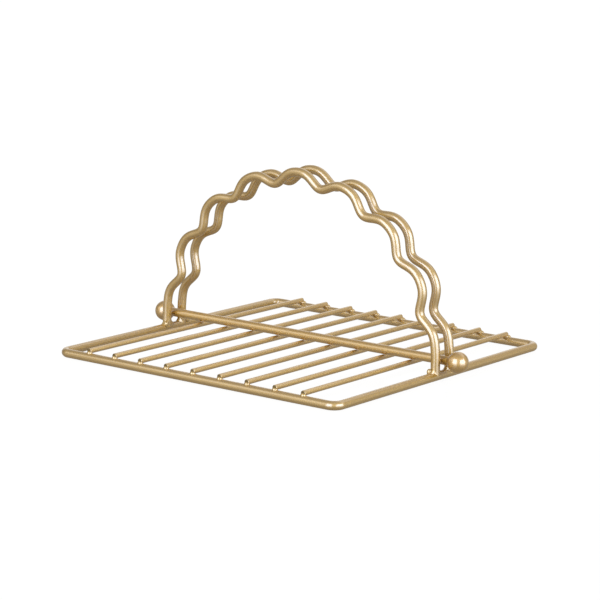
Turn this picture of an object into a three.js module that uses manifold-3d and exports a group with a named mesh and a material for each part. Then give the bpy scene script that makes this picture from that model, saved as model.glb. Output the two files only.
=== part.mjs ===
// A free-standing napkin holder of welded wire: a square base frame, a grid of slats across it,
// two scalloped arches side by side, and a loose weight bar that rides up and down between the arches.
// Millimetres, +Z up. X runs along the bar and the arches, Y along the slats.
// The origin is on the table, under the middle of the base frame.
import * as THREE from "three";
import { mergeVertices } from "three/addons/utils/BufferGeometryUtils.js";
import Module from "manifold-3d";

const wasm = await Module();
wasm.setup();

// Base frame: one bent wire, closed on itself.
const frameWidth = 190.5; // over the wire, along X
const frameDepth = 190.5; // over the wire, along Y
const frameWire = 4.8; // wire diameter
const cornerRadius = 5; // bend of each corner, at the wire's centreline

// Slats: straight thin wires laid over the frame's front and rear wires.
const slatWire = 2.85; // wire diameter
const slatCount = 9;
const slatSideMargin = 20.25; // from the centreline of a side wire to the nearest slat
const slatOverhang = 0.6; // how far each end passes the centreline of the wire that carries it
const slatSetDown = 0.2; // how far the welding presses a slat into the frame wire

// Arches: a half round drawn in to a scalloped line, with straight legs on the frame's side wires.
const archWire = 5; // wire diameter
const archHeight = 103.6; // from the table to the top of the middle scallop
const archSpringRise = 1.2; // the half round's centre, above the top of the frame wire
const archLegInset = 0.7; // how far the lowest scallop's crest lies inside the leg
const scallopCount = 9; // an odd number, with one at the top
const lowCrestRise = 13.6; // the lowest scallop's crest, above the half round's centre
const scallopDepth = 6.35; // from crest to notch
const scallopFullness = 0.98; // how far the flanks of a scallop swell past a plain wave

// Weight bar: a straight wire with a ball on each end, loose between the arches.
const barWire = 5; // wire diameter
const barSidePlay = 1.35; // free gap to the arch wire on each side
const barShift = 1.4; // how far the loose bar lies to the right of the middle
const ballDiameter = 11.5;
const ballClearance = 0.25; // from the frame's outer side to a ball, with the bar in the middle

// Weld beads: how far each one reaches past the wire that it holds.
const slatBeadReach = 1.1;
const slatBeadHeight = 1.1;
const archBeadReach = 2.2;
const archBeadHeight = 1.9;

const seamGap = 0.3; // between pieces that the welds join, and under the resting bar

// Facets: sides of a wire, steps of a bend, steps of a scallop, and rounds of a ball or bead.
const wireSides = 12;
const cornerSteps = 6;
const scallopSteps = 10;
const legBendSteps = 3;
const ballRounds = [20, 12];
const beadRounds = [12, 8];

// Places that follow from the sizes above.
const frameRadius = frameWire / 2;
const slatRadius = slatWire / 2;
const archRadius = archWire / 2;
const barRadius = barWire / 2;
const ballRadius = ballDiameter / 2;
const sideX = frameWidth / 2 - frameRadius; // centreline of the side wires
const endY = frameDepth / 2 - frameRadius; // centreline of the front and rear wires
const slatZ = frameWire - slatSetDown + slatRadius;
const slatEndY = endY + slatOverhang;
const slatPitch = (2 * (sideX - slatSideMargin)) / (slatCount - 1);
const archY = barRadius + barSidePlay + archRadius;
const barZ = slatZ + slatRadius + seamGap + barRadius;
const ballX = frameWidth / 2 + ballRadius + ballClearance;

// Finishes: one satin gold coat over everything, a shade deeper on the drawn slats and the welds.
const finish = {
  wire: new THREE.MeshStandardMaterial({ color: 0xc2a165, metalness: 1, roughness: 0.34 }),
  slat: new THREE.MeshStandardMaterial({ color: 0xbc9c66, metalness: 1, roughness: 0.38 }),
  ball: new THREE.MeshStandardMaterial({ color: 0xc8a563, metalness: 1, roughness: 0.28 }),
  weld: new THREE.MeshStandardMaterial({ color: 0xc0993f, metalness: 1, roughness: 0.3 }),
};

const holder = new THREE.Group();

// A named mesh of the object, at a place in its parent.
function piece(name, geometry, material, parent = holder, place = [0, 0, 0]) {
  const mesh = new THREE.Mesh(geometry, material);
  mesh.name = name;
  mesh.position.set(...place);
  parent.add(mesh);
  return mesh;
}

// A closed three.js geometry as a solid that can be cut.
function solidOf(geometry) {
  const bare = geometry.clone();
  bare.deleteAttribute("normal");
  bare.deleteAttribute("uv");
  const merged = mergeVertices(bare, 1e-4);
  return new wasm.Manifold(
    new wasm.Mesh({
      numProp: 3,
      vertProperties: new Float32Array(merged.attributes.position.array),
      triVerts: new Uint32Array(merged.index.array),
    }),
  );
}

// A cut solid back as a three.js geometry.
function geometryOf(solid) {
  const mesh = solid.getMesh();
  const geometry = new THREE.BufferGeometry();
  geometry.setAttribute("position", new THREE.BufferAttribute(mesh.vertProperties, 3));
  geometry.setIndex(new THREE.BufferAttribute(mesh.triVerts, 1));
  return geometry;
}

// The corner radius of a regular section whose flat sides lie at the given radius.
function cornerOf(radius) {
  return radius / Math.cos(Math.PI / wireSides);
}

// A wire of constant section along stations in one plane. Each station has a point and a unit tangent.
// The section has a flat on each side of the plane, so a wire that lies down rests on a flat.
function wireAlong(stations, planeNormal, radius, closed) {
  const positions = [];
  const index = [];
  const corner = cornerOf(radius);
  for (const { point, tangent } of stations) {
    const outward = new THREE.Vector3().crossVectors(planeNormal, tangent);
    for (let side = 0; side < wireSides; side += 1) {
      const angle = ((side + 0.5) * 2 * Math.PI) / wireSides;
      const vertex = point.clone();
      vertex.addScaledVector(outward, corner * Math.cos(angle));
      vertex.addScaledVector(planeNormal, corner * Math.sin(angle));
      positions.push(vertex.x, vertex.y, vertex.z);
    }
  }
  const spans = closed ? stations.length : stations.length - 1;
  for (let span = 0; span < spans; span += 1) {
    const here = span * wireSides;
    const next = ((span + 1) % stations.length) * wireSides;
    for (let side = 0; side < wireSides; side += 1) {
      const beside = (side + 1) % wireSides;
      index.push(here + side, here + beside, next + side);
      index.push(next + side, here + beside, next + beside);
    }
  }
  if (!closed) {
    const last = (stations.length - 1) * wireSides;
    for (let side = 1; side < wireSides - 1; side += 1) {
      index.push(0, side + 1, side);
      index.push(last, last + side, last + side + 1);
    }
  }
  const geometry = new THREE.BufferGeometry();
  geometry.setAttribute("position", new THREE.Float32BufferAttribute(positions, 3));
  geometry.setIndex(index);
  return geometry;
}

// A straight wire of a given length about the origin, along X, Y or Z, with flats up, down and sideways.
function straightWire(radius, length, axis) {
  const corner = cornerOf(radius);
  const geometry = new THREE.CylinderGeometry(corner, corner, length, wireSides);
  geometry.rotateY(Math.PI / wireSides);
  if (axis === "x") geometry.rotateZ(-Math.PI / 2);
  if (axis === "z") geometry.rotateX(Math.PI / 2);
  return geometry;
}

// A frame wire grown by the seam gap, as a cutter for what is welded to it. It runs along X or Y.
function frameCutter(axis, x, y) {
  const length = axis === "x" ? frameWidth : frameDepth;
  return solidOf(straightWire(frameRadius + seamGap, length, axis).translate(x, y, frameRadius));
}

// The frame's centreline: straight sides joined by round corners, anticlockwise seen from above.
function frameStations() {
  const stations = [];
  const corners = [
    [1, -1, -Math.PI / 2],
    [1, 1, 0],
    [-1, 1, Math.PI / 2],
    [-1, -1, Math.PI],
  ];
  for (const [signX, signY, start] of corners) {
    const centreX = signX * (sideX - cornerRadius);
    const centreY = signY * (endY - cornerRadius);
    for (let step = 0; step <= cornerSteps; step += 1) {
      const turn = start + (step / cornerSteps) * (Math.PI / 2);
      const x = centreX + cornerRadius * Math.cos(turn);
      const y = centreY + cornerRadius * Math.sin(turn);
      stations.push({
        point: new THREE.Vector3(x, y, frameRadius),
        tangent: new THREE.Vector3(-Math.sin(turn), Math.cos(turn), 0),
      });
    }
  }
  return stations;
}

// Each slat lies on the front and rear wires, in a saddle as deep as the set-down.
function slatGeometry(x) {
  const slat = solidOf(straightWire(slatRadius, 2 * slatEndY, "y").translate(x, 0, slatZ));
  const cut = slat.subtract(frameCutter("x", 0, -endY)).subtract(frameCutter("x", 0, endY));
  return geometryOf(cut);
}

// The arch's centreline, from the left leg over the top to the right leg, in the plane of X and Z.
function archStations() {
  const springZ = frameWire + archSpringRise;
  const crestZ = archHeight - archRadius - springZ;
  const lastCrest = Math.acos(lowCrestRise / crestZ);
  const crestX = (sideX - archLegInset) / Math.sin(lastCrest);
  const lobesPerSide = (scallopCount - 1) / 2;
  const lobeAngle = lastCrest / lobesPerSide;

  // The scalloped line at an angle from the top, positive to the right.
  const scalloped = (angle) => {
    const wave = (2 * Math.PI * angle) / lobeAngle;
    const swell = (scallopFullness / 2) * (1 - Math.cos(2 * wave));
    const drawnIn = (scallopDepth / 2) * (1 - Math.cos(wave)) - swell;
    const x = (crestX - drawnIn) * Math.sin(angle);
    const z = springZ + (crestZ - drawnIn) * Math.cos(angle);
    return new THREE.Vector2(x, z);
  };

  // The right leg leaves the last crest along its tangent and turns to stand upright on the side wire.
  const crest = scalloped(lastCrest);
  const slope = new THREE.Vector2(crestX * Math.cos(lastCrest), -crestZ * Math.sin(lastCrest)).normalize();
  const reach = (sideX - crest.x) / slope.x;
  const bend = crest.clone().addScaledVector(slope, reach);
  const legTop = new THREE.Vector2(sideX, bend.y - reach);
  const legBend = new THREE.QuadraticBezierCurve(crest, bend, legTop);
  const legFoot = new THREE.Vector2(sideX, frameRadius);

  const right = [];
  const steps = lobesPerSide * scallopSteps;
  for (let step = 0; step < steps; step += 1) right.push(scalloped((step / steps) * lastCrest));
  right.push(...legBend.getPoints(legBendSteps), legFoot);
  const left = right.slice(1).reverse();
  const line = [...left.map((p) => new THREE.Vector2(-p.x, p.y)), ...right];

  // Tangents follow the neighbours on each side, and stand upright at the feet.
  return line.map((p, i) => {
    const before = line[Math.max(i - 1, 0)];
    const after = line[Math.min(i + 1, line.length - 1)];
    const tangent = new THREE.Vector3(after.x - before.x, 0, after.y - before.y).normalize();
    return { point: new THREE.Vector3(p.x, 0, p.y), tangent };
  });
}

// An arch at a depth Y, its feet cut to saddle the side wires that they stand on.
function archGeometry(y) {
  const wire = wireAlong(archStations(), new THREE.Vector3(0, 1, 0), archRadius, false);
  const arch = solidOf(wire.translate(0, y, 0));
  return geometryOf(arch.subtract(frameCutter("y", -sideX, 0)).subtract(frameCutter("y", sideX, 0)));
}

// The bar's wire, each end hollowed to sit round its ball. It lies along X about the origin.
function barGeometry() {
  let bar = solidOf(straightWire(barRadius, 2 * ballX, "x"));
  for (const end of [-1, 1]) {
    const seat = new THREE.SphereGeometry(ballRadius + seamGap, ...ballRounds);
    bar = bar.subtract(solidOf(seat.translate(end * ballX, 0, 0)));
  }
  return geometryOf(bar);
}

// A round bead stretched to its reach along X, Y and Z.
function beadSolid(reachX, reachY, reachZ, x, y, z) {
  const bead = new THREE.SphereGeometry(1, ...beadRounds);
  return solidOf(bead.scale(reachX, reachY, reachZ).translate(x, y, z));
}

// The bead round a slat's end, where it lies on the front (-1) or rear (+1) wire.
function slatBeadGeometry(x, end) {
  const reachX = slatRadius + slatBeadReach;
  const reachY = slatOverhang + slatBeadReach;
  const bead = beadSolid(reachX, reachY, slatBeadHeight, x, end * endY, frameWire);
  const length = 2 * (slatEndY + seamGap);
  const slat = solidOf(straightWire(slatRadius + seamGap, length, "y").translate(x, 0, slatZ));
  return geometryOf(bead.subtract(slat).subtract(frameCutter("x", 0, end * endY)));
}

// The bead beside an arch's leg, on its front (-1) or rear (+1) flank, along the side wire.
function archBeadGeometry(x, y, flank) {
  const beadY = y + flank * archRadius;
  const bead = beadSolid(archRadius, archBeadReach, archBeadHeight, x, beadY, frameWire);
  const leg = solidOf(straightWire(archRadius + seamGap, archHeight, "z").translate(x, y, frameWire));
  return geometryOf(bead.subtract(leg).subtract(frameCutter("y", x, 0)));
}

piece("base_frame", wireAlong(frameStations(), new THREE.Vector3(0, 0, 1), frameRadius, true), finish.wire);

for (let i = 0; i < slatCount; i += 1) {
  const x = (i - (slatCount - 1) / 2) * slatPitch;
  piece(`slat_${i + 1}`, slatGeometry(x), finish.slat);
  piece(`slat_weld_front_${i + 1}`, slatBeadGeometry(x, -1), finish.weld);
  piece(`slat_weld_rear_${i + 1}`, slatBeadGeometry(x, 1), finish.weld);
}

for (const [depth, y] of [["front", -archY], ["rear", archY]]) {
  piece(`arch_${depth}`, archGeometry(y), finish.wire);
  for (const [hand, x] of [["left", -sideX], ["right", sideX]]) {
    piece(`arch_weld_${depth}_${hand}_a`, archBeadGeometry(x, y, -1), finish.weld);
    piece(`arch_weld_${depth}_${hand}_b`, archBeadGeometry(x, y, 1), finish.weld);
  }
}

const weightBar = new THREE.Group();
weightBar.position.set(barShift, 0, barZ);
holder.add(weightBar);
piece("weight_bar", barGeometry(), finish.wire, weightBar);
const ball = new THREE.SphereGeometry(ballRadius, ...ballRounds);
piece("ball_left", ball, finish.ball, weightBar, [-ballX, 0, 0]);
piece("ball_right", ball, finish.ball, weightBar, [ballX, 0, 0]);

export default holder;
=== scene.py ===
"""A wire napkin holder in satin gold: a slatted tray, two scalloped arches and a loose ball-ended bar."""

import logging
import math
from dataclasses import dataclass
from enum import Enum
from typing import Sequence, Union

import bmesh
import bpy
import numpy as np
from mathutils import Matrix, Vector


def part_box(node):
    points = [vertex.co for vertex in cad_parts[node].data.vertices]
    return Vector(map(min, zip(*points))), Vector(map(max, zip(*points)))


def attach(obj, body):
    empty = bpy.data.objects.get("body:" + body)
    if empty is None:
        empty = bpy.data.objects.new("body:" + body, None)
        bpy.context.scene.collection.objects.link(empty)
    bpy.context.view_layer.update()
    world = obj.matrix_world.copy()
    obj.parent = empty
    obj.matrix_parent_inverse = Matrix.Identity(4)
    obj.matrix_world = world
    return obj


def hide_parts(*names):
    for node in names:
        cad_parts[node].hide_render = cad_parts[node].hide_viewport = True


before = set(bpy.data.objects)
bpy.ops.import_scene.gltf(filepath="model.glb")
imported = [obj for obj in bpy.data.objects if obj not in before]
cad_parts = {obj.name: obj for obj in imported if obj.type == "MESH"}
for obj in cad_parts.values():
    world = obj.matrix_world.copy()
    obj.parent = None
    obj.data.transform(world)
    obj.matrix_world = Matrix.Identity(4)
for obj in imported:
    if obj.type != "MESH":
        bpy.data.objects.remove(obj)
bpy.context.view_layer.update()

MM = 0.001
MERGE_DISTANCE = 1e-7
CRISP_ANGLE = math.radians(38.0)
WIRE_PLACE = "wire_place"
WIRE_REACH = "wire_reach"
WIRE_SECTION = "wire_section"
SLIM = "slim"
BEAD_SIZE = "bead_size"
LOG = logging.getLogger("napkin_holder")

Colour = tuple[float, float, float, float]
Operand = Union["Term", float, int]

WHITE: Colour = (1.0, 1.0, 1.0, 1.0)
BLACK: Colour = (0.0, 0.0, 0.0, 1.0)


class Slot(Enum):
    """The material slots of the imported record."""

    WIRE = "wire"
    SLAT = "slat"
    BALL = "ball"
    WELD = "weld"


class Body(Enum):
    """The bodies that pieces ride on."""

    HOLDER = "holder"
    LEFT_END = "bar_left_end"
    BAR = "bar"


class Depth(Enum):
    """The front and the rear of the holder, as signs along Y."""

    FRONT = -1
    REAR = 1


class Hand(Enum):
    """The left and the right of the holder, as signs along X."""

    LEFT = -1
    RIGHT = 1


class Grain(Enum):
    """Which way the fine lines of a finish run."""

    ALONG_WIRE = "along_wire"
    ALL_ROUND = "all_round"


class Term:
    """An output socket that takes part in Python arithmetic."""

    def __init__(self, tree: "NodeTree", socket: bpy.types.NodeSocket) -> None:
        """Wrap one socket of a tree."""
        self.tree = tree
        self.socket = socket

    def __add__(self, other: Operand) -> "Term":
        """Sum."""
        return self.tree.math("ADD", self, other)

    def __radd__(self, other: Operand) -> "Term":
        """Sum with a number on the left."""
        return self.tree.math("ADD", other, self)

    def __sub__(self, other: Operand) -> "Term":
        """Difference."""
        return self.tree.math("SUBTRACT", self, other)

    def __rsub__(self, other: Operand) -> "Term":
        """Difference from a number on the left."""
        return self.tree.math("SUBTRACT", other, self)

    def __mul__(self, other: Operand) -> "Term":
        """Product."""
        return self.tree.math("MULTIPLY", self, other)

    def __rmul__(self, other: Operand) -> "Term":
        """Product with a number on the left."""
        return self.tree.math("MULTIPLY", other, self)

    def __truediv__(self, other: Operand) -> "Term":
        """Quotient."""
        return self.tree.math("DIVIDE", self, other)

    def __rtruediv__(self, other: Operand) -> "Term":
        """Quotient of a number on the left."""
        return self.tree.math("DIVIDE", other, self)

    def __gt__(self, other: Operand) -> "Term":
        """One where this is the greater, else nought."""
        return self.tree.math("GREATER_THAN", self, other)

    def __abs__(self) -> "Term":
        """Size without sign."""
        return self.tree.math("ABSOLUTE", self)

    def at_most(self, limit: Operand) -> "Term":
        """The smaller of this and the limit."""
        return self.tree.math("MINIMUM", self, limit)

    def at_least(self, limit: Operand) -> "Term":
        """The greater of this and the limit."""
        return self.tree.math("MAXIMUM", self, limit)

    def sine(self) -> "Term":
        """Sine of this angle in radians."""
        return self.tree.math("SINE", self)

    def cosine(self) -> "Term":
        """Cosine of this angle in radians."""
        return self.tree.math("COSINE", self)

    def rise(self, low: float, high: float) -> "Term":
        """Smooth step from nought at low to one at high."""
        settings = {"interpolation_type": "SMOOTHSTEP", "data_type": "FLOAT", "clamp": True}
        sockets = {"Value": self, "From Min": low, "From Max": high}
        return self.tree.node("ShaderNodeMapRange", settings, sockets)


class NodeTree:
    """A node tree under construction."""

    noise_roughness: float = 0.6

    def __init__(self, tree: bpy.types.NodeTree) -> None:
        """Start on a Blender tree, without the nodes it came with."""
        self.tree = tree
        self.tree.nodes.clear()

    @staticmethod
    def pick(sockets: Sequence[bpy.types.NodeSocket], key: Union[int, str]) -> bpy.types.NodeSocket:
        """Return the socket at an index, or the first one in use with a name."""
        if isinstance(key, int):
            return sockets[key]
        return next(s for s in sockets if s.enabled and s.name == key)

    def node(self, kind: str, settings: dict | None = None, sockets: dict | None = None,
             output: Union[int, str] = 0) -> Union[Term, None]:
        """Add a node.

        Args:
            kind: Blender's name of the node type.
            settings: the node's own properties, which are set first.
            sockets: values or links of its inputs, by name or index.
            output: the output wanted, by name or index.

        Returns:
            The wanted output, or None where the node has none.
        """
        made = self.tree.nodes.new(kind)
        for name, value in (settings or {}).items():
            setattr(made, name, value)
        for key, value in (sockets or {}).items():
            socket = self.pick(made.inputs, key)
            if isinstance(value, Term):
                self.tree.links.new(value.socket, socket)
            else:
                socket.default_value = value
        return Term(self, self.pick(made.outputs, output)) if len(made.outputs) else None

    def math(self, operation: str, *operands: Operand) -> Term:
        """Add a Math node on the operands and return its value."""
        return self.node("ShaderNodeMath", {"operation": operation}, dict(enumerate(operands)))

    def vector(self, x: Operand, y: Operand, z: Operand) -> Term:
        """Join three values into a vector."""
        return self.node("ShaderNodeCombineXYZ", sockets={"X": x, "Y": y, "Z": z})

    def part(self, vector: Term, axis: str) -> Term:
        """Return one of a vector's values, X, Y or Z."""
        return self.node("ShaderNodeSeparateXYZ", sockets={"Vector": vector}, output=axis)

    def tint(self, share: Operand, first: Colour, second: Colour) -> Term:
        """Mix two colours by a share."""
        settings = {"data_type": "RGBA", "blend_type": "MIX"}
        return self.node("ShaderNodeMix", settings, {"Factor": share, "A": first, "B": second}, "Result")

    def noise(self, place: Term, scale: float, detail: float) -> Term:
        """Return noise from nought to one at a place."""
        sockets = {"Vector": place, "Scale": scale, "Detail": detail, "Roughness": self.noise_roughness}
        return self.node("ShaderNodeTexNoise", {"noise_dimensions": "3D"}, sockets, "Fac")


class ShapeTree(NodeTree):
    """A geometry tree with named sizes, which is run on an object and leaves it a plain mesh."""

    def __init__(self, name: str, sizes: Sequence[str], counts: Sequence[str] = ()) -> None:
        """Make the tree and its named inputs.

        Args:
            name: the tree's name.
            sizes: the names of its lengths, angles and shares.
            counts: the names of its whole numbers.
        """
        group = bpy.data.node_groups.new(name, "GeometryNodeTree")
        super().__init__(group)
        group.interface.new_socket("Geometry", in_out="OUTPUT", socket_type="NodeSocketGeometry")
        group.interface.new_socket("Geometry", in_out="INPUT", socket_type="NodeSocketGeometry")
        self.keys: dict[str, str] = {}
        for label in sizes:
            self.keys[label] = self.declare(label, "NodeSocketFloat")
        for label in counts:
            self.keys[label] = self.declare(label, "NodeSocketInt")
        self.entry = group.nodes.new("NodeGroupInput")

    def declare(self, label: str, kind: str) -> str:
        """Add a named input and return its identifier."""
        return self.tree.interface.new_socket(label, in_out="INPUT", socket_type=kind).identifier

    def size(self, label: str) -> Term:
        """Return a named input."""
        return Term(self, self.pick(self.entry.outputs, label))

    def position(self) -> Term:
        """Return the place of each point."""
        return self.node("GeometryNodeInputPosition")

    def store(self, geometry: Term, name: str, value: Term, kind: str = "FLOAT_VECTOR") -> Term:
        """Keep a value on each point under a name."""
        settings = {"data_type": kind, "domain": "POINT"}
        return self.node("GeometryNodeStoreNamedAttribute", settings,
                         {"Geometry": geometry, "Name": name, "Value": value})

    def stored(self, name: str, kind: str = "FLOAT_VECTOR") -> Term:
        """Return what was kept on each point under a name."""
        settings = {"data_type": kind}
        return self.node("GeometryNodeInputNamedAttribute", settings, {"Name": name}, "Attribute")

    def path(self, count: Operand, place: Term) -> Term:
        """Return an open path of a number of points, each at its place."""
        settings = {"mode": "OFFSET", "count_mode": "TOTAL"}
        line = self.node("GeometryNodeMeshLine", settings, {"Count": count})
        laid = self.node("GeometryNodeSetPosition", sockets={"Geometry": line, "Position": place})
        return self.node("GeometryNodeMeshToCurve", sockets={"Mesh": laid})

    def wire(self, path: Term, radius: Operand, sides: Operand, scale: Operand = 1.0) -> Term:
        """Sweep a round wire along a path and keep each point's place on the wire.

        Args:
            path: the curve that the wire's middle follows.
            radius: the wire's radius.
            sides: the number of points round it.
            scale: the share of the radius at each point of the path.

        Returns:
            The wire's mesh, with its length and section kept as one vector.
        """
        reach = self.node("GeometryNodeSplineParameter", output="Length")
        marked = self.store(path, WIRE_REACH, reach, "FLOAT")
        ring = self.node("GeometryNodeCurvePrimitiveCircle", {"mode": "RADIUS"},
                         {"Resolution": sides, "Radius": radius})
        section = self.store(ring, WIRE_SECTION, self.position())
        tube = self.node("GeometryNodeCurveToMesh", sockets={
            "Curve": marked, "Profile Curve": section, "Scale": scale, "Fill Caps": True})
        along = self.stored(WIRE_REACH, "FLOAT")
        across = self.stored(WIRE_SECTION)
        place = self.vector(along, self.part(across, "X"), self.part(across, "Y"))
        kept = self.store(tube, WIRE_PLACE, place)
        for spare in (WIRE_REACH, WIRE_SECTION):
            kept = self.node("GeometryNodeRemoveAttribute", sockets={"Geometry": kept, "Name": spare})
        return kept

    def close(self, geometry: Term, finish: bpy.types.Material) -> Term:
        """Make instances real, smooth the shape and give it its finish."""
        real = self.node("GeometryNodeRealizeInstances", sockets={"Geometry": geometry})
        smooth = self.node("GeometryNodeSetShadeSmooth", sockets={"Geometry": real, "Shade Smooth": True})
        return self.node("GeometryNodeSetMaterial", sockets={"Geometry": smooth, "Material": finish})

    def end(self, geometry: Term) -> None:
        """Lead the finished shape out of the tree."""
        self.node("NodeGroupOutput", sockets={"Geometry": geometry})

    def run(self, name: str, values: dict[str, float],
            start: bpy.types.Mesh | None = None) -> bpy.types.Object:
        """Run the tree.

        Args:
            name: the piece's name.
            values: the value of each named input.
            start: the mesh that the tree begins with, if it needs one.

        Returns:
            The piece, as a plain mesh.
        """
        blank = start or bpy.data.meshes.new(name + "_start")
        piece = bpy.data.objects.new(name, blank)
        bpy.context.scene.collection.objects.link(piece)
        modifier = piece.modifiers.new("shape", "NODES")
        modifier.node_group = self.tree
        for label, key in self.keys.items():
            modifier[key] = values[label]
        graph = bpy.context.evaluated_depsgraph_get()
        shaped = bpy.data.meshes.new_from_object(
            piece.evaluated_get(graph), preserve_all_data_layers=True, depsgraph=graph)
        piece.modifiers.remove(modifier)
        piece.data = shaped
        bpy.data.meshes.remove(blank)
        turn_outwards(shaped)
        return piece


def turn_outwards(mesh: bpy.types.Mesh) -> None:
    """Merge doubled points, point the faces outwards and keep crisp edges crisp."""
    work = bmesh.new()
    work.from_mesh(mesh)
    bmesh.ops.remove_doubles(work, verts=work.verts, dist=MERGE_DISTANCE)
    bmesh.ops.recalc_face_normals(work, faces=work.faces)
    work.to_mesh(mesh)
    work.free()
    mesh.shade_smooth()
    mesh.set_sharp_from_angle(angle=CRISP_ANGLE)


def skin(name: str, hulls: Sequence[np.ndarray], finish: bpy.types.Material) -> bpy.types.Object:
    """Make a piece of one or more closed skins.

    Args:
        name: the piece's name.
        hulls: for each skin, its rings of points, as an array of rings by points by three.
        finish: the material.

    Returns:
        The piece, with its place in its mesh.
    """
    points: list[list[float]] = []
    faces: list[list[int]] = []
    for rings in hulls:
        count, around = rings.shape[:2]
        base = len(points)
        points.extend(rings.reshape(-1, 3).tolist())
        for i in range(count - 1):
            for j in range(around):
                k = (j + 1) % around
                low = base + i * around
                faces.append([low + j, low + k, low + around + k, low + around + j])
        faces.append([base + j for j in range(around)])
        faces.append([base + (count - 1) * around + j for j in range(around)])
    mesh = bpy.data.meshes.new(name)
    mesh.from_pydata(points, [], faces)
    mesh.materials.append(finish)
    turn_outwards(mesh)
    piece = bpy.data.objects.new(name, mesh)
    bpy.context.scene.collection.objects.link(piece)
    return piece


def turned(profile: Sequence[tuple[float, float]], middle: Vector, around: int) -> np.ndarray:
    """Turn a profile about a line along X.

    Args:
        profile: (distance along X, radius) of each ring.
        middle: the point on the line that distances are measured from.
        around: the number of points in a ring.

    Returns:
        The rings, as an array of rings by points by three.
    """
    turns = np.linspace(0.0, 2.0 * math.pi, around, endpoint=False)
    rings = []
    for x, r in profile:
        along = np.full(around, middle.x + x)
        rings.append(np.stack([along, middle.y + r * np.cos(turns), middle.z + r * np.sin(turns)], 1))
    return np.array(rings)


def settle(piece: bpy.types.Object, body: Body, nodes: Sequence[str]) -> None:
    """Put a piece on its body and in the place of its solids, and report it."""
    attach(piece, body.value)
    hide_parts(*nodes)
    faces = len(piece.data.polygons)
    LOG.info("%s: %d faces on %s, for %d solids", piece.name, faces, body.value, len(nodes))


@dataclass(frozen=True)
class GoldFinish:
    """A gold plating with fine lines, soft clouds of tone and a few specks, under a clear wavy skin."""

    name: str
    colour: Colour
    shade: Colour
    roughness: float
    line_play: float
    grain: Grain
    coat: float = 1.0
    coat_roughness: float = 0.19
    coat_index: float = 2.38
    line_length: float = 30.0 * MM
    line_width: float = 0.35 * MM
    line_depth: float = 0.0
    line_detail: float = 3.0
    line_tone: float = 0.2
    wave_size: float = 5.0 * MM
    wave_depth: float = 0.006 * MM
    cloud_size: float = 16.0 * MM
    cloud_detail: float = 2.0
    cloud_tone: float = 0.8
    cloud_play: float = 0.08
    tone_low: float = 0.3
    tone_high: float = 0.7
    speck_pitch: float = 7.0 * MM
    speck_inner: float = 0.02
    speck_outer: float = 0.05
    speck_skip: float = 0.6
    speck_play: float = 0.15

    def lines(self, tree: NodeTree, place: Term) -> Term:
        """Return the fine lines that drawing or polishing left, from nought to one."""
        width = 1.0 / self.line_width
        if self.grain is Grain.ALL_ROUND:
            return tree.noise(place, width, self.line_detail)
        route = tree.node("ShaderNodeAttribute", {"attribute_name": WIRE_PLACE}, output="Vector")
        drawn = tree.node("ShaderNodeMapping", {"vector_type": "POINT"},
                          {"Vector": route, "Scale": (1.0 / self.line_length, width, width)})
        return tree.noise(drawn, 1.0, self.line_detail)

    def specks(self, tree: NodeTree, place: Term) -> Term:
        """Return sparse specks in the plating, one at the middle of each."""
        settings = {"feature": "F1", "distance": "EUCLIDEAN"}
        sockets = {"Vector": place, "Scale": 1.0 / self.speck_pitch}
        away = tree.node("ShaderNodeTexVoronoi", settings, sockets, "Distance")
        chance = tree.part(tree.node("ShaderNodeTexVoronoi", settings, sockets, "Color"), "X")
        return (1.0 - away.rise(self.speck_inner, self.speck_outer)) * (chance > self.speck_skip)

    def material(self) -> bpy.types.Material:
        """Build the finish."""
        made = bpy.data.materials.new(self.name)
        made.use_nodes = True
        tree = NodeTree(made.node_tree)
        place = tree.node("ShaderNodeTexCoord", output="Object")
        lines = self.lines(tree, place)
        clouds = tree.noise(place, 1.0 / self.cloud_size, self.cloud_detail)
        specks = self.specks(tree, place)
        broad = clouds.rise(self.tone_low, self.tone_high)
        fine = lines.rise(self.tone_low, self.tone_high)
        tone = (self.cloud_tone * broad + self.line_tone * fine).at_most(1.0)
        roughness = (self.roughness + self.line_play * (lines - 0.5) + self.cloud_play * (clouds - 0.5)
                     + self.speck_play * specks)
        height = self.wave_depth * tree.noise(place, 1.0 / self.wave_size, 0.0)
        if self.line_depth > 0.0:
            height = height + self.line_depth * lines
        relief = tree.node("ShaderNodeBump", sockets={"Strength": 1.0, "Distance": 1.0, "Height": height})
        gold = tree.node("ShaderNodeBsdfPrincipled", sockets={
            "Base Color": tree.tint(tone, self.colour, self.shade), "Metallic": 1.0, "Roughness": roughness,
            "Coat Weight": self.coat, "Coat Roughness": self.coat_roughness, "Coat IOR": self.coat_index,
            "Normal": relief})
        tree.node("ShaderNodeOutputMaterial", {"target": "ALL"}, {"Surface": gold})
        return made


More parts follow.
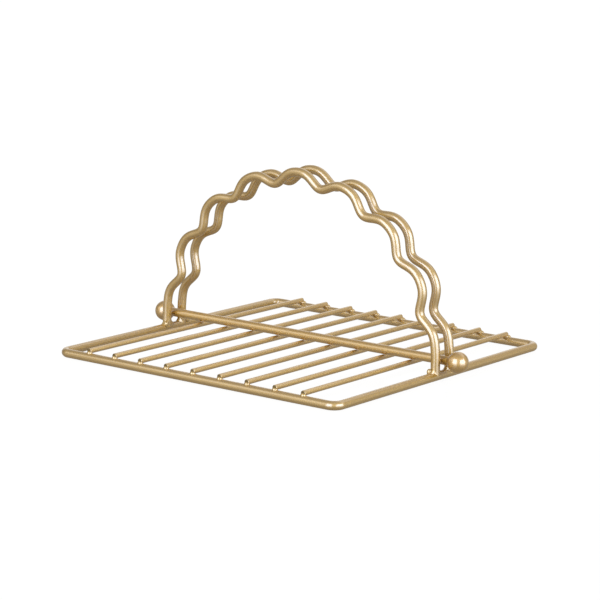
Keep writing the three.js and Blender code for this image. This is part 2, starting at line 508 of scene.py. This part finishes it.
@dataclass(frozen=True)
class Finishes:
    """The finishes of the holder."""

    wire: bpy.types.Material
    slat: bpy.types.Material
    cut: bpy.types.Material
    bar: bpy.types.Material
    ball: bpy.types.Material
    weld: bpy.types.Material

    @classmethod
    def made(cls) -> "Finishes":
        """Make every finish once."""
        wire = GoldFinish("satin_gold_wire", (0.542, 0.333, 0.074, 1.0), (0.512, 0.309, 0.066, 1.0),
                          roughness=0.6, line_play=0.04, grain=Grain.ALONG_WIRE)
        # The slats' gold is a lighter, paler copy of the wire's gold: painted light on the slats.
        slat = GoldFinish("satin_gold_slat", (0.618, 0.39, 0.103, 1.0), (0.588, 0.366, 0.094, 1.0),
                          roughness=0.6, line_play=0.05, grain=Grain.ALONG_WIRE, line_width=0.28 * MM)
        # The sheared ends are a darker gold. This is partly the bare cut metal's own tone and partly
        # painted shade for end faces that stand in shadow.
        cut = GoldFinish("sheared_wire_end", (0.25, 0.165, 0.052, 1.0), (0.2, 0.13, 0.042, 1.0),
                         roughness=0.65, line_play=0.1, grain=Grain.ALL_ROUND, coat=0.15,
                         coat_roughness=0.5, line_width=0.3 * MM, line_depth=0.001 * MM)
        bar = GoldFinish("satin_gold_bar", (0.577, 0.34, 0.062, 1.0), (0.547, 0.319, 0.056, 1.0),
                         roughness=0.6, line_play=0.04, grain=Grain.ALONG_WIRE)
        ball = GoldFinish("satin_gold_ball", (0.572, 0.332, 0.064, 1.0), (0.547, 0.312, 0.059, 1.0),
                          roughness=0.58, line_play=0.03, grain=Grain.ALL_ROUND, line_width=0.8 * MM)
        # The weld gold is a little brighter than the wire's. This is partly the weld's own yellower tone
        # and partly painted light that lifts the shade in the joints.
        weld = GoldFinish("plated_weld", (0.585, 0.365, 0.078, 1.0), (0.55, 0.34, 0.07, 1.0),
                          roughness=0.55, line_play=0.06, grain=Grain.ALL_ROUND, coat=0.9,
                          coat_roughness=0.22, line_width=0.7 * MM)
        return cls(wire=wire.material(), slat=slat.material(), cut=cut.material(), bar=bar.material(),
                   ball=ball.material(), weld=weld.material())


class WeldBeads:
    """Lumpy beads of weld, one at each place, all in one piece."""

    lump_size: float = 1.3 * MM
    lump_height: float = 0.1 * MM
    lump_middle: float = 0.6
    fineness: int = 4

    def __init__(self, finish: bpy.types.Material) -> None:
        """Build the tree that lays a bead at each point and roughens it."""
        tree = ShapeTree("weld_beads", ["Lump Size", "Lump Height"], ["Fineness"])
        drop = tree.node("GeometryNodeMeshIcoSphere", sockets={
            "Radius": 1.0, "Subdivisions": tree.size("Fineness")})
        laid = tree.node("GeometryNodeInstanceOnPoints", sockets={
            "Points": tree.size("Geometry"), "Instance": drop, "Scale": tree.stored(BEAD_SIZE)})
        real = tree.node("GeometryNodeRealizeInstances", sockets={"Geometry": laid})
        lump = tree.node("ShaderNodeTexNoise", {"noise_dimensions": "3D"}, {
            "Vector": tree.position(), "Scale": 1.0 / tree.size("Lump Size"), "Detail": 1.0}, "Fac")
        push = tree.node("ShaderNodeVectorMath", {"operation": "SCALE"}, {
            "Vector": tree.node("GeometryNodeInputNormal"),
            "Scale": (lump - self.lump_middle) * tree.size("Lump Height")})
        lumpy = tree.node("GeometryNodeSetPosition", sockets={"Geometry": real, "Offset": push})
        tree.end(tree.close(lumpy, finish))
        self.tree = tree

    def lay(self, name: str, places: Sequence[Vector], radii: Sequence[Vector]) -> bpy.types.Object:
        """Lay beads.

        Args:
            name: the piece's name.
            places: the middle of each bead.
            radii: the three half sizes of each bead.

        Returns:
            The beads as one piece.
        """
        dots = bpy.data.meshes.new(name + "_dots")
        dots.from_pydata([tuple(p) for p in places], [], [])
        sizes = dots.attributes.new(BEAD_SIZE, "FLOAT_VECTOR", "POINT")
        sizes.data.foreach_set("vector", np.array([tuple(r) for r in radii], np.float32).ravel())
        values = {"Lump Size": self.lump_size, "Lump Height": self.lump_height, "Fineness": self.fineness}
        return self.tree.run(name, values, dots)


@dataclass
class BaseFrame:
    """The tray's outer wire: one closed rectangle with bent corners, lying on the table."""

    wire_radius: float
    half_width: float
    half_depth: float
    corner_radius: float = 5.0 * MM
    corner_steps: int = 14
    wire_sides: int = 40

    @classmethod
    def measured(cls) -> "BaseFrame":
        """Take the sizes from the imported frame."""
        low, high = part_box("base_frame")
        radius = (high.z - low.z) / 2.0
        return cls(radius, (high.x - low.x) / 2.0 - radius, (high.y - low.y) / 2.0 - radius)

    def build(self, finish: bpy.types.Material) -> None:
        """Bend the wire and dress it."""
        tree = ShapeTree("bent_frame", ["Width", "Depth", "Corner Radius", "Wire Radius"],
                         ["Corner Steps", "Wire Sides"])
        outline = tree.node("GeometryNodeCurvePrimitiveQuadrilateral", {"mode": "RECTANGLE"},
                            {"Width": tree.size("Width"), "Height": tree.size("Depth")})
        bent = tree.node("GeometryNodeFilletCurve", {"mode": "POLY"}, {
            "Curve": outline, "Radius": tree.size("Corner Radius"), "Count": tree.size("Corner Steps")})
        raised = tree.node("GeometryNodeSetPosition", sockets={
            "Geometry": bent, "Offset": tree.vector(0.0, 0.0, tree.size("Wire Radius"))})
        wire = tree.wire(raised, tree.size("Wire Radius"), tree.size("Wire Sides"))
        tree.end(tree.close(wire, finish))
        piece = tree.run("frame_wire", {
            "Width": 2.0 * self.half_width, "Depth": 2.0 * self.half_depth,
            "Corner Radius": self.corner_radius, "Wire Radius": self.wire_radius,
            "Corner Steps": self.corner_steps, "Wire Sides": self.wire_sides})
        settle(piece, Body.HOLDER, ["base_frame"])


@dataclass
class SlatTray:
    """The thin straight wires across the frame, and the weld at both ends of each."""

    wire_radius: float
    half_length: float
    first: Vector
    pitch: float
    count: int
    end_rounding: float = 0.45 * MM
    end_steps: int = 5
    cut_facing: float = 0.6
    wire_sides: int = 28
    front_bead: Vector = Vector((1.6 * MM, 1.5 * MM, 1.5 * MM))
    front_rise: float = 0.6 * MM
    rear_bead: Vector = Vector((3.1 * MM, 1.8 * MM, 1.3 * MM))
    rear_rise: float = 0.35 * MM

    @classmethod
    def measured(cls) -> "SlatTray":
        """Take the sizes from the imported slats."""
        names = [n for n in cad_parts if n.startswith("slat_") and "weld" not in n]
        boxes = sorted((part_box(n) for n in names), key=lambda box: box[0].x)
        low, high = boxes[0]
        far_low, far_high = boxes[-1]
        first = (low + high) / 2.0
        pitch = ((far_low + far_high) / 2.0 - first).x / (len(names) - 1)
        return cls((high.z - low.z) / 2.0, (high.y - low.y) / 2.0, first, pitch, len(names))

    def build_slats(self, finish: bpy.types.Material, cut: bpy.types.Material) -> None:
        """Lay the slats in a row, with their sheared ends in a darker gold that is partly painted shade."""
        sizes = ["Half Length", "End Rounding", "Wire Radius", "First X", "Height", "Pitch"]
        tree = ShapeTree("slat_row", sizes, ["End Steps", "Wire Sides", "Slats"])
        index = tree.node("GeometryNodeInputIndex")
        steps = tree.size("End Steps")
        side = 2.0 * (index > steps - 0.5) - 1.0
        turn = math.pi / 2.0 * index.at_most(2.0 * steps - 1.0 - index) / (steps - 1.0)
        reach = side * (tree.size("Half Length") - tree.size("End Rounding") * (1.0 - turn.cosine()))
        path = tree.path(2.0 * steps, tree.vector(0.0, reach, 0.0))
        slim = 1.0 - (1.0 - turn.sine()) * tree.size("End Rounding") / tree.size("Wire Radius")
        ready = tree.store(path, SLIM, slim, "FLOAT")
        slat = tree.wire(ready, tree.size("Wire Radius"), tree.size("Wire Sides"),
                         tree.stored(SLIM, "FLOAT"))
        row = tree.node("GeometryNodeMeshLine", {"mode": "OFFSET", "count_mode": "TOTAL"}, {
            "Count": tree.size("Slats"),
            "Start Location": tree.vector(tree.size("First X"), 0.0, tree.size("Height")),
            "Offset": tree.vector(tree.size("Pitch"), 0.0, 0.0)})
        laid = tree.node("GeometryNodeInstanceOnPoints", sockets={"Points": row, "Instance": slat})
        real = tree.node("GeometryNodeRealizeInstances", sockets={"Geometry": laid})
        spot = tree.position()
        marked = tree.store(real, WIRE_PLACE, tree.vector(
            tree.part(spot, "Y"), tree.part(spot, "X"), tree.part(spot, "Z")))
        dressed = tree.close(marked, finish)
        # Faces that look along the slats take the cut ends' darker gold, which is partly painted shade.
        facing = abs(tree.part(tree.node("GeometryNodeInputNormal"), "Y")) > self.cut_facing
        tree.end(tree.node("GeometryNodeSetMaterial", sockets={
            "Geometry": dressed, "Selection": facing, "Material": cut}))
        piece = tree.run("slat_wires", {
            "Half Length": self.half_length, "End Rounding": self.end_rounding,
            "Wire Radius": self.wire_radius, "First X": self.first.x, "Height": self.first.z,
            "Pitch": self.pitch, "End Steps": self.end_steps, "Wire Sides": self.wire_sides,
            "Slats": self.count})
        settle(piece, Body.HOLDER, [f"slat_{i + 1}" for i in range(self.count)])

    def build_welds(self, beads: WeldBeads) -> None:
        """Lay a bead under both ends of every slat."""
        nodes = [f"slat_weld_{end.name.lower()}_{i + 1}" for end in Depth for i in range(self.count)]
        places, radii = [], []
        for name in nodes:
            low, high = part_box(name)
            at_front = "front" in name
            half = self.front_bead if at_front else self.rear_bead
            top = high.z + (self.front_rise if at_front else self.rear_rise)
            places.append(Vector(((low.x + high.x) / 2.0, (low.y + high.y) / 2.0, top - half.z)))
            radii.append(half)
        settle(beads.lay("slat_weld_beads", places, radii), Body.HOLDER, nodes)


@dataclass
class ScallopedArches:
    """The two arches that stand on the frame's side wires, each a wire bent in nine round scallops."""

    wire_radius: float
    foot_x: float
    foot_z: float
    top_z: float
    frame_top: float
    depths: dict[Depth, float]
    spring_rise: float = 1.2 * MM
    leg_inset: float = 0.7 * MM
    low_crest_rise: float = 13.6 * MM
    scallop_depth: float = 6.35 * MM
    scallop_fullness: float = 0.98 * MM
    scallops_per_side: int = 4
    stations: int = 521
    wave_share: float = 0.905
    wire_sides: int = 36
    fillet: float = 2.3 * MM
    outer_fillet: float = 0.6 * MM
    fillet_end: float = 0.12
    fillet_rings: int = 37
    fillet_points: int = 9
    fillet_sink: float = 0.25 * MM
    swell_start: float = 0.6
    swell_span: float = 0.8
    waver: float = 0.06
    waver_rate: float = 3.0
    waver_step: float = 1.7
    nub: Vector = Vector((1.3 * MM, 1.45 * MM, 1.85 * MM))
    nub_inset: float = 1.8 * MM
    nub_reach: float = 1.8 * MM
    nub_rise: float = 0.1 * MM

    @classmethod
    def measured(cls, tray: BaseFrame) -> "ScallopedArches":
        """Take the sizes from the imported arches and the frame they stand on."""
        boxes = {depth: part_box(f"arch_{depth.name.lower()}") for depth in Depth}
        low, high = boxes[Depth.FRONT]
        radius = (high.y - low.y) / 2.0
        depths = {depth: (box[0].y + box[1].y) / 2.0 for depth, box in boxes.items()}
        frame_top = 2.0 * tray.wire_radius
        return cls(radius, tray.half_width, tray.wire_radius, high.z - radius, frame_top, depths)

    def sizes(self) -> dict[str, float]:
        """Work out the tree's sizes from the arch's own."""
        spring = self.frame_top + self.spring_rise
        rise = self.top_z - spring
        last = math.acos(self.low_crest_rise / rise)
        half_width = (self.foot_x - self.leg_inset) / math.sin(last)
        lean = half_width * math.cos(last) / (rise * math.sin(last))
        return {
            "Half Width": half_width, "Rise": rise, "Spring Height": spring, "Last Crest": last,
            "Scallop Depth": self.scallop_depth, "Scallop Fullness": self.scallop_fullness,
            "Leg Lean": lean, "Leg Bend": 2.0 * self.leg_inset / lean,
            "Leg Length": spring + self.low_crest_rise - self.foot_z, "Wave Share": self.wave_share,
            "Wire Radius": self.wire_radius, "Scallops": self.scallops_per_side,
            "Stations": self.stations, "Wire Sides": self.wire_sides}

    def wire_tree(self, finish: bpy.types.Material) -> ShapeTree:
        """Build the tree that bends an arch: scallops round half an ellipse, then two upright legs."""
        tree = ShapeTree("scalloped_arch", [
            "Half Width", "Rise", "Spring Height", "Last Crest", "Scallop Depth", "Scallop Fullness",
            "Leg Lean", "Leg Bend", "Leg Length", "Wave Share", "Wire Radius", "Depth"],
            ["Scallops", "Stations", "Wire Sides"])
        along = 2.0 * tree.node("GeometryNodeInputIndex") / (tree.size("Stations") - 1.0) - 1.0
        side = 2.0 * (along > 0.0) - 1.0
        share = tree.size("Wave Share")
        sweep = (abs(along) / share).at_most(1.0)
        angle = sweep * tree.size("Last Crest")
        wave = 2.0 * math.pi * sweep * tree.size("Scallops")
        drawn = (tree.size("Scallop Depth") / 2.0 * (1.0 - wave.cosine())
                 - tree.size("Scallop Fullness") / 2.0 * (1.0 - (2.0 * wave).cosine()))
        drop = (abs(along) - share).at_least(0.0) / (1.0 - share) * tree.size("Leg Length")
        bend = drop.at_most(tree.size("Leg Bend"))
        lean = tree.size("Leg Lean") * (bend - bend * bend / (2.0 * tree.size("Leg Bend")))
        x = side * ((tree.size("Half Width") - drawn) * angle.sine() + lean)
        z = tree.size("Spring Height") + (tree.size("Rise") - drawn) * angle.cosine() - drop
        path = tree.path(tree.size("Stations"), tree.vector(x, tree.size("Depth"), z))
        tree.end(tree.close(tree.wire(path, tree.size("Wire Radius"), tree.size("Wire Sides")), finish))
        return tree

    def build_wires(self, finish: bpy.types.Material) -> None:
        """Bend both arches."""
        tree = self.wire_tree(finish)
        for depth in Depth:
            name = f"arch_{depth.name.lower()}"
            piece = tree.run(name + "_wire", {**self.sizes(), "Depth": self.depths[depth]})
            settle(piece, Body.HOLDER, [name])

    def fillet_radius(self, turn: float, phase: float) -> float:
        """Return a fillet's radius, thin on the foot's outer side and full further in.

        Args:
            turn: the angle from the outer side, in radians.
            phase: where the fillet's slow waver starts.

        Returns:
            The radius there.
        """
        share = min(max((turn - self.swell_start) / self.swell_span, 0.0), 1.0)
        share = share * share * (3.0 - 2.0 * share)
        full = self.fillet * (1.0 + self.waver * math.sin(self.waver_rate * turn + phase))
        return self.outer_fillet + (full - self.outer_fillet) * share

    def saddle(self, x: float, y: float, flank: int, phase: float) -> np.ndarray:
        """Run a fillet of weld along one flank of a foot, where two round wires cross.

        Args:
            x: the foot's place along X.
            y: the foot's place along Y.
            flank: the side of the leg, as a sign along Y.
            phase: where the fillet's slow waver starts.

        Returns:
            The fillet's rings, as an array of rings by points by three.
        """
        hand = math.copysign(1.0, x)
        rings = []
        for turn in np.linspace(self.fillet_end, math.pi - self.fillet_end, self.fillet_rings):
            ball = self.fillet_radius(turn, phase)
            apart = self.wire_radius + ball
            out = np.array([hand * math.cos(turn), flank * math.sin(turn), 0.0])
            lift = np.array([0.0, 0.0, math.sqrt(max(apart ** 2 - (apart * out[0]) ** 2, 0.0))])
            middle = apart * out + lift
            leg = self.wire_radius * out + lift
            rod_way = np.array([middle[0], 0.0, middle[2]]) / apart
            rod = self.wire_radius * rod_way + np.array([0.0, middle[1], 0.0])
            ring = []
            for step in np.linspace(0.0, 1.0, self.fillet_points):
                way = (leg - middle) * (1.0 - step) + (rod - middle) * step
                ring.append(middle + ball * way / np.linalg.norm(way))
            ring.append(rod - self.fillet_sink * rod_way)
            ring.append(leg - self.fillet_sink * out)
            rings.append(np.array(ring) + np.array([x, y, self.foot_z]))
        return np.array(rings)

    def build_welds(self, finish: bpy.types.Material, beads: WeldBeads) -> None:
        """Fillet both flanks of every foot and set a bead on the one that faces outwards."""
        nodes, outer, hulls, places, radii = [], [], [], [], []
        for depth in Depth:
            for hand in Hand:
                for letter, flank in (("a", -1), ("b", 1)):
                    name = f"arch_weld_{depth.name.lower()}_{hand.name.lower()}_{letter}"
                    nodes.append(name)
                    phase = self.waver_step * len(nodes)
                    hulls.append(self.saddle(hand.value * self.foot_x, self.depths[depth], flank, phase))
                    if flank != depth.value:
                        continue
                    low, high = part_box(name)
                    outer.append(name)
                    x = hand.value * (self.foot_x - self.nub_inset)
                    edge = high.y if flank > 0 else low.y
                    y = edge - flank * self.nub_reach
                    places.append(Vector((x, y, self.frame_top + self.nub_rise)))
                    radii.append(self.nub)
        settle(skin("arch_foot_fillets", hulls, finish), Body.HOLDER, nodes)
        settle(beads.lay("arch_foot_beads", places, radii), Body.HOLDER, outer)


@dataclass
class WeightBar:
    """The loose bar that holds the napkins down: a straight wire with a ball brazed on each end."""

    wire_radius: float
    ball_radius: float
    left: Vector
    right: Vector
    clearance: float = 0.1 * MM
    collar_radius: float = 2.95 * MM
    collar_length: float = 0.9 * MM
    around: int = 48
    end_steps: int = 9
    ball_around: int = 72
    ball_rings: int = 49

    @classmethod
    def measured(cls) -> "WeightBar":
        """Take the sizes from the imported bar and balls."""
        low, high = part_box("weight_bar")
        balls = [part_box("ball_left"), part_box("ball_right")]
        left, right = ((a + b) / 2.0 for a, b in balls)
        return cls((high.z - low.z) / 2.0, (balls[0][1].z - balls[0][0].z) / 2.0, left, right)

    def end_profile(self) -> list[tuple[float, float]]:
        """Return the bar's end: a cup round the ball, then a collar that falls to the wire."""
        cup = self.ball_radius + self.clearance
        rows = []
        for share in np.linspace(0.0, 1.0, self.end_steps):
            radius = self.collar_radius * share
            rows.append((math.sqrt(cup ** 2 - radius ** 2), radius))
        start = rows[-1][0]
        for turn in np.linspace(0.0, math.pi / 2.0, self.end_steps)[1:]:
            radius = self.collar_radius - (self.collar_radius - self.wire_radius) * math.sin(turn)
            rows.append((start + self.collar_length * (1.0 - math.cos(turn)), radius))
        return rows

    def build_wire(self, finish: bpy.types.Material) -> None:
        """Turn the straight wire with a collar at each end."""
        span = (self.right - self.left).x
        end = self.end_profile()
        profile = end + [(span - x, r) for x, r in reversed(end)]
        piece = skin("weight_bar_wire", [turned(profile, self.left, self.around)], finish)
        places = np.empty(len(piece.data.vertices) * 3, np.float32)
        piece.data.vertices.foreach_get("co", places)
        piece.data.attributes.new(WIRE_PLACE, "FLOAT_VECTOR", "POINT").data.foreach_set("vector", places)
        settle(piece, Body.BAR, ["weight_bar"])

    def build_balls(self, finish: bpy.types.Material) -> None:
        """Turn the two balls."""
        turns = np.linspace(0.0, math.pi, self.ball_rings)
        profile = [(-self.ball_radius * math.cos(t), self.ball_radius * math.sin(t)) for t in turns]
        ends = (("ball_left", self.left, Body.LEFT_END), ("ball_right", self.right, Body.BAR))
        for name, middle, body in ends:
            piece = skin(name + "_turned", [turned(profile, middle, self.ball_around)], finish)
            settle(piece, body, [name])


@dataclass(frozen=True)
class SoftPanel:
    """A soft-edged panel in the tent: its bearing from the camera and height in degrees, and its level."""

    middle: float
    half_width: float
    side_edge: float
    low: float
    high: float
    top_edge: float
    level: float
    low_edge: float = 5.0

    @staticmethod
    def edge(angle: Term, place: float, softness: float) -> Term:
        """Step softly from nought to one where an angle in radians passes a place in degrees."""
        return angle.rise(math.radians(place - softness), math.radians(place + softness))

    def light(self, turn: Term, lift: Term) -> Term:
        """Return the panel's light in the direction of a bearing and a height in radians."""
        apart = turn - math.radians(self.middle)
        away = abs(turn.tree.math("WRAP", apart, math.pi, -math.pi))
        wide = 1.0 - self.edge(away, self.half_width, self.side_edge)
        over = self.edge(lift, self.low, self.low_edge)
        under = 1.0 - self.edge(lift, self.high, self.top_edge)
        return self.level * wide * over * under


@dataclass
class Studio:
    """The white table, the soft light and the camera."""

    eye: Vector = Vector((0.764375, -0.992201, 0.281789))
    azimuth: float = math.radians(37.68812)
    elevation: float = math.radians(11.376677)
    roll: float = math.radians(0.832798)
    lens: float = 140.098
    sensor: float = 36.0
    far: float = 50.0
    table_radius: float = 7.0
    table_points: int = 96
    table_colour: Colour = (0.72, 0.69, 0.62, 1.0)
    table_roughness: float = 0.12
    table_seen: float = 0.9
    table_white: float = 1.05
    # Painted light: the level and warm tint of the glow the table shows to glossy and transmission rays,
    # standing in for its shaded, gold-lit floor.
    table_painted_glow: float = 0.36
    table_painted_tint: Colour = (1.0, 0.95, 0.84, 1.0)
    tent: float = 0.52
    front_gain: float = 0.105
    panel_tint: Colour = (0.85, 1.0, 1.26, 1.0)
    panels: tuple[SoftPanel, ...] = (
        SoftPanel(middle=-39.0, half_width=23.0, side_edge=5.0,
                  low=-1.0, high=44.0, top_edge=6.0, level=3.55),
        SoftPanel(middle=49.0, half_width=30.0, side_edge=6.0,
                  low=-1.0, high=37.0, top_edge=6.0, level=3.55))
    fills: tuple[SoftPanel, ...] = (
        SoftPanel(middle=135.0, half_width=40.0, side_edge=15.0,
                  low=38.0, high=62.0, top_edge=10.0, level=0.8),
        SoftPanel(middle=180.0, half_width=24.0, side_edge=14.0,
                  low=2.0, high=32.0, top_edge=10.0, level=0.7),
        SoftPanel(middle=-82.0, half_width=14.0, side_edge=6.0,
                  low=12.0, high=42.0, top_edge=6.0, level=0.8),
        SoftPanel(middle=-115.0, half_width=24.0, side_edge=15.0,
                  low=-5.0, high=45.0, top_edge=15.0, level=-0.2))

    def place_camera(self) -> None:
        """Set the camera at the photograph's viewing angle."""
        back = Vector((math.sin(self.azimuth) * math.cos(self.elevation),
                       -math.cos(self.azimuth) * math.cos(self.elevation), math.sin(self.elevation)))
        right = Vector((math.cos(self.azimuth), math.sin(self.azimuth), 0.0))
        up = back.cross(right)
        turned_right = right * math.cos(self.roll) + up * math.sin(self.roll)
        turned_up = up * math.cos(self.roll) - right * math.sin(self.roll)
        lens = bpy.data.cameras.new("camera")
        lens.lens = self.lens
        lens.sensor_width = self.sensor
        lens.clip_end = self.far
        camera = bpy.data.objects.new("camera", lens)
        bpy.context.scene.collection.objects.link(camera)
        axes = Matrix((turned_right, turned_up, back)).transposed().to_4x4()
        camera.matrix_world = Matrix.Translation(self.eye) @ axes
        bpy.context.scene.camera = camera

    def lay_table(self) -> None:
        """Lay the pale table top, which keeps the holder's shadow, reads as white to the camera and shows
        the metal a painted dim warm glow.
        """
        made = bpy.data.materials.new("white_table")
        made.use_nodes = True
        tree = NodeTree(made.node_tree)
        glossy = tree.node("ShaderNodeLightPath", output="Is Glossy Ray")
        clear = tree.node("ShaderNodeLightPath", output="Is Transmission Ray")
        mirrored = glossy.at_least(clear)
        seen = self.table_seen * tree.node("ShaderNodeLightPath", output="Is Camera Ray")
        paint = tree.node("ShaderNodeBsdfPrincipled", sockets={
            "Base Color": self.table_colour, "Roughness": self.table_roughness})
        glow = tree.node("ShaderNodeEmission", sockets={"Color": WHITE, "Strength": self.table_white})
        plain = tree.node("ShaderNodeMixShader", sockets={0: seen, 1: paint, 2: glow})
        # Painted light: to glossy and transmission rays the table is a black gloss with a dim warm glow.
        # The glow is painted shade plus golden bounce light in the metal's reflections.
        gloss_and_painted_glow = tree.node("ShaderNodeBsdfPrincipled", sockets={
            "Base Color": BLACK, "Roughness": self.table_roughness,
            "Emission Color": self.table_painted_tint, "Emission Strength": self.table_painted_glow})
        both = tree.node("ShaderNodeMixShader", sockets={0: mirrored, 1: plain, 2: gloss_and_painted_glow})
        tree.node("ShaderNodeOutputMaterial", {"target": "ALL"}, {"Surface": both})
        made.cycles.emission_sampling = "NONE"
        mesh = bpy.data.meshes.new("table_top")
        turns = np.linspace(0.0, 2.0 * math.pi, self.table_points, endpoint=False)
        rim = [(self.table_radius * math.cos(t), self.table_radius * math.sin(t), 0.0) for t in turns]
        mesh.from_pydata(rim, [], [list(range(len(rim)))])
        mesh.materials.append(made)
        table = bpy.data.objects.new("table_top", mesh)
        bpy.context.scene.collection.objects.link(table)

    def light(self) -> None:
        """Hang a white tent with two soft panels, one on either side of the camera."""
        world = bpy.data.worlds.new("tent")
        bpy.context.scene.world = world
        world.use_nodes = True
        tree = NodeTree(world.node_tree)
        way = tree.node("ShaderNodeTexCoord", output="Generated")
        x, y, z = (tree.part(way, axis) for axis in "XYZ")
        ahead = x * math.sin(self.azimuth) - y * math.cos(self.azimuth)
        aside = x * math.cos(self.azimuth) + y * math.sin(self.azimuth)
        turn = tree.math("ARCTAN2", aside, ahead)
        lift = tree.math("ARCSINE", z)
        level = self.tent + self.front_gain * ahead
        for fill in self.fills:
            level = level + fill.light(turn, lift)
        tent = tree.node("ShaderNodeBackground", sockets={"Color": WHITE, "Strength": level})
        first, *others = self.panels
        bright = first.light(turn, lift)
        for panel in others:
            bright = bright + panel.light(turn, lift)
        glow = tree.node("ShaderNodeBackground", sockets={"Color": self.panel_tint, "Strength": bright})
        sky = tree.node("ShaderNodeAddShader", sockets={0: tent, 1: glow})
        tree.node("ShaderNodeOutputWorld", {"target": "ALL"}, {"Surface": sky})


def main() -> None:
    """Build, dress and light the holder."""
    logging.basicConfig(level=logging.INFO, format="%(message)s")
    bpy.context.scene.view_settings.view_transform = "Standard"
    finishes = Finishes.made()
    beads = WeldBeads(finishes.weld)
    tray = BaseFrame.measured()
    tray.build(finishes.wire)
    slats = SlatTray.measured()
    slats.build_slats(finishes.slat, finishes.cut)
    slats.build_welds(beads)
    arches = ScallopedArches.measured(tray)
    arches.build_wires(finishes.wire)
    arches.build_welds(finishes.weld, beads)
    bar = WeightBar.measured()
    bar.build_wire(finishes.bar)
    bar.build_balls(finishes.ball)
    studio = Studio()
    studio.place_camera()
    studio.lay_table()
    studio.light()


if __name__ == "__main__":
    main()
